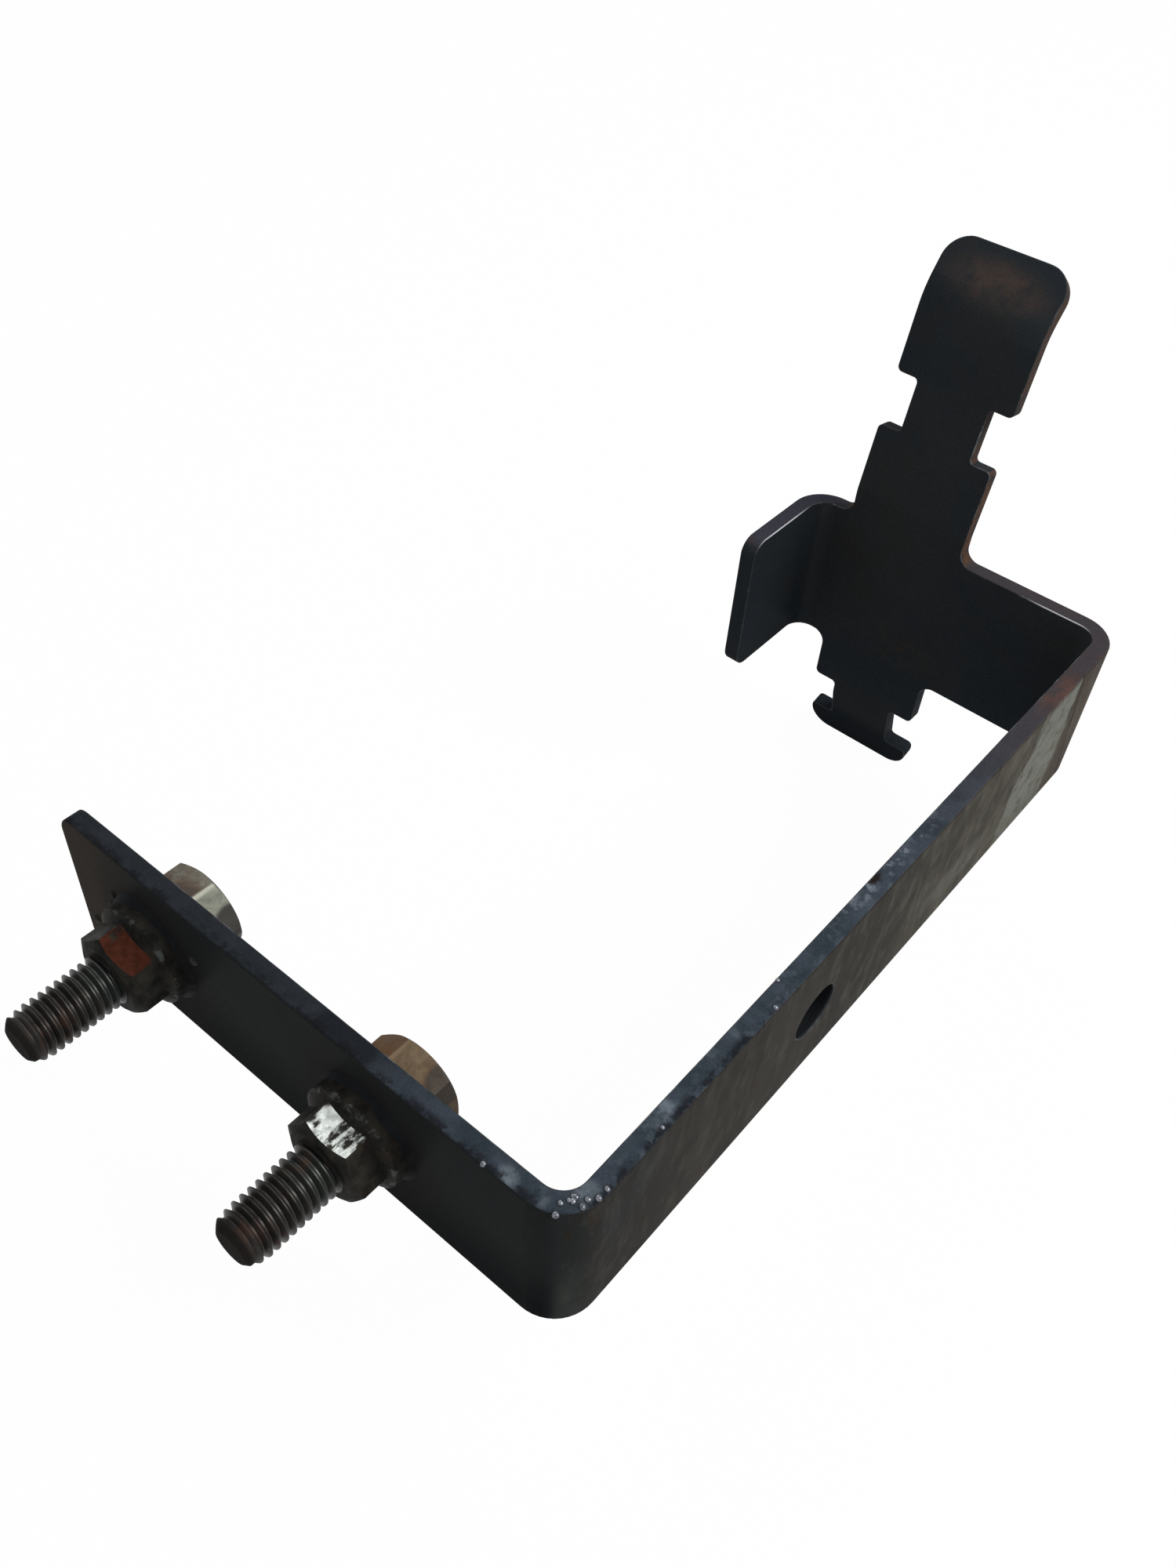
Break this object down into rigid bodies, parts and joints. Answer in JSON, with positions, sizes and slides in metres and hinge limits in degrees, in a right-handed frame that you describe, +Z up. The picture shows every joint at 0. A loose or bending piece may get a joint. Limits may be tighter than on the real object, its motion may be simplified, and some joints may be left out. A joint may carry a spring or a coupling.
{
  "type": "stamped metal bracket",
  "caption": "Folded steel strip bracket in a squared U, with a notched tab through its rear leg and hexagon bolts clamped through its front leg.",
  "frame": {"origin": "centre of the round hole in the web, on the web's outside face", "axes": "+X along the web away from the front leg that carries the bolts, +Y through the web into the U, +Z up across the strip, towards the tongue"},
  "size_m": [0.1758, 0.0925, 0.1003],
  "materials": {
    "strip_steel": "matt, worn through at the edges",
    "bolt_steel": "dull zinc, lightly rusted",
    "nut_steel": "dull, lightly rusted"
  },
  "bodies": {
    "root": {"bracket": "strip_steel", "bend_bolt": "bolt_steel", "end_bolt": "bolt_steel", "bend_nut": "nut_steel", "end_nut": "nut_steel"}
  },
  "joints": []
}
